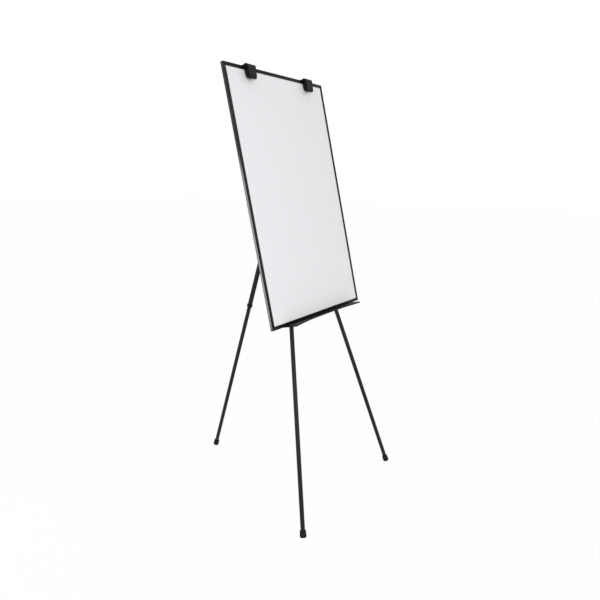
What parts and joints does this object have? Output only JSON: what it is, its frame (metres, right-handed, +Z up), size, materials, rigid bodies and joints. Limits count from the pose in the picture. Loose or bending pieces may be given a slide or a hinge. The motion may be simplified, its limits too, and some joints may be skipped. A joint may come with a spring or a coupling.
{
  "type": "tripod whiteboard easel",
  "caption": "Floor-standing tripod easel with a framed magnetic whiteboard, two sliding pad clips, a concave pen tray and telescoping folding legs.",
  "frame": {"origin": "on the floor, at the centre of the box around the feet: midway between the fronts of the two front feet and the back of the rear foot", "axes": "+X to the viewer's right along the board's width, +Y to the back, away from the writing face, +Z up"},
  "size_m": [0.6764, 0.7328, 1.5946],
  "materials": {
    "black_anodised": "satin",
    "white_enamel": "satin",
    "core_board": "matte",
    "galvanised_sheet": "satin",
    "black_tube": "satin",
    "black_moulding": "matte",
    "black_rubber": "matte",
    "nylon": "matte",
    "zinc_steel": "satin",
    "spring_steel": "satin"
  },
  "bodies": {
    "board": {"frame_rail_top": "black_anodised", "frame_rail_bottom": "black_anodised", "frame_rail_left": "black_anodised", "frame_rail_right": "black_anodised", "corner_keys": "nylon", "writing_sheet": "white_enamel", "board_core": "core_board", "back_sheet": "galvanised_sheet", "pen_tray": "black_moulding", "tray_screws": "zinc_steel", "mounting_plate": "spring_steel", "plate_screws": "zinc_steel", "tripod_head": "black_moulding", "head_screws": "zinc_steel", "front_pivot_bolts": "zinc_steel", "front_pivot_nuts": "zinc_steel", "rear_pivot_bolt": "zinc_steel", "rear_pivot_nut": "zinc_steel", "leg_keeper_left": "black_moulding", "leg_keeper_right": "black_moulding", "keeper_screws": "zinc_steel"},
    "front_left_upper_leg": {"front_left_leg_eye": "black_moulding", "front_left_upper_tube": "black_tube", "front_left_collar": "black_moulding"},
    "front_left_lock": {"front_left_lock_expander": "nylon"},
    "front_left_lower_leg": {"front_left_lock_stud": "spring_steel", "front_left_lower_tube": "black_tube", "front_left_foot": "black_rubber"},
    "front_right_upper_leg": {"front_right_leg_eye": "black_moulding", "front_right_upper_tube": "black_tube", "front_right_collar": "black_moulding"},
    "front_right_lock": {"front_right_lock_expander": "nylon"},
    "front_right_lower_leg": {"front_right_lock_stud": "spring_steel", "front_right_lower_tube": "black_tube", "front_right_foot": "black_rubber"},
    "rear_upper_leg": {"rear_leg_eye": "black_moulding", "rear_upper_tube": "black_tube", "rear_collar": "black_moulding"},
    "rear_lock": {"rear_lock_expander": "nylon"},
    "rear_lower_leg": {"rear_lock_stud": "spring_steel", "rear_lower_tube": "black_tube", "rear_foot": "black_rubber"},
    "clip_left_slider": {"clip_left_saddle": "black_moulding", "clip_left_pin": "zinc_steel", "clip_left_spring": "spring_steel"},
    "clip_left_jaw": {"clip_left_jaw": "black_moulding", "clip_left_pad": "black_rubber"},
    "clip_right_slider": {"clip_right_saddle": "black_moulding", "clip_right_pin": "zinc_steel", "clip_right_spring": "spring_steel"},
    "clip_right_jaw": {"clip_right_jaw": "black_moulding", "clip_right_pad": "black_rubber"}
  },
  "joints": [
    {"name": "front_left_fold", "type": "hinge", "parent": "board", "child": "front_left_upper_leg", "pos_m": [-0.02, -0.03252, 1.25184], "axis": [0, -0.9681, 0.2504], "range_deg": [0, 13.4]},
    {"name": "front_left_extend", "type": "slide", "parent": "front_left_upper_leg", "child": "front_left_lock", "axis": [0.2317, 0.2436, 0.9418], "range_m": [0, 0.4]},
    {"name": "front_left_twist_lock", "type": "hinge", "parent": "front_left_lock", "child": "front_left_lower_leg", "pos_m": [-0.13286, -0.15114, 0.79319], "axis": [0.2317, 0.2436, 0.9418], "range_deg": [0, 180]},
    {"name": "front_right_fold", "type": "hinge", "parent": "board", "child": "front_right_upper_leg", "pos_m": [0.02, -0.03252, 1.25184], "axis": [0, 0.9681, -0.2504], "range_deg": [0, 13.4]},
    {"name": "front_right_extend", "type": "slide", "parent": "front_right_upper_leg", "child": "front_right_lock", "axis": [-0.2317, 0.2436, 0.9418], "range_m": [0, 0.4]},
    {"name": "front_right_twist_lock", "type": "hinge", "parent": "front_right_lock", "child": "front_right_lower_leg", "pos_m": [0.13286, -0.15114, 0.79319], "axis": [-0.2317, 0.2436, 0.9418], "range_deg": [0, 180]},
    {"name": "rear_fold", "type": "hinge", "parent": "board", "child": "rear_upper_leg", "pos_m": [0, -0.01405, 1.22744], "axis": [-1, 0, 0], "range_deg": [0, 31.3]},
    {"name": "rear_extend", "type": "slide", "parent": "rear_upper_leg", "child": "rear_lock", "axis": [0, -0.289, 0.9573], "range_m": [0, 0.355]},
    {"name": "rear_twist_lock", "type": "hinge", "parent": "rear_lock", "child": "rear_lower_leg", "pos_m": [0, 0.11325, 0.80581], "axis": [0, -0.289, 0.9573], "range_deg": [0, 180]},
    {"name": "clip_left_slide", "type": "slide", "parent": "board", "child": "clip_left_slider", "axis": [1, 0, 0], "range_m": [-0.095, 0.15]},
    {"name": "clip_left_open", "type": "hinge", "parent": "clip_left_slider", "child": "clip_left_jaw", "pos_m": [-0.176, -0.00529, 1.58407], "axis": [-1, 0, 0], "range_deg": [0, 28], "stiffness_Nm_per_rad": 0.25, "springref_deg": -34.38},
    {"name": "clip_right_slide", "type": "slide", "parent": "board", "child": "clip_right_slider", "axis": [1, 0, 0], "range_m": [-0.15, 0.095]},
    {"name": "clip_right_open", "type": "hinge", "parent": "clip_right_slider", "child": "clip_right_jaw", "pos_m": [0.176, -0.00529, 1.58407], "axis": [-1, 0, 0], "range_deg": [0, 28], "stiffness_Nm_per_rad": 0.25, "springref_deg": -34.38}
  ]
}
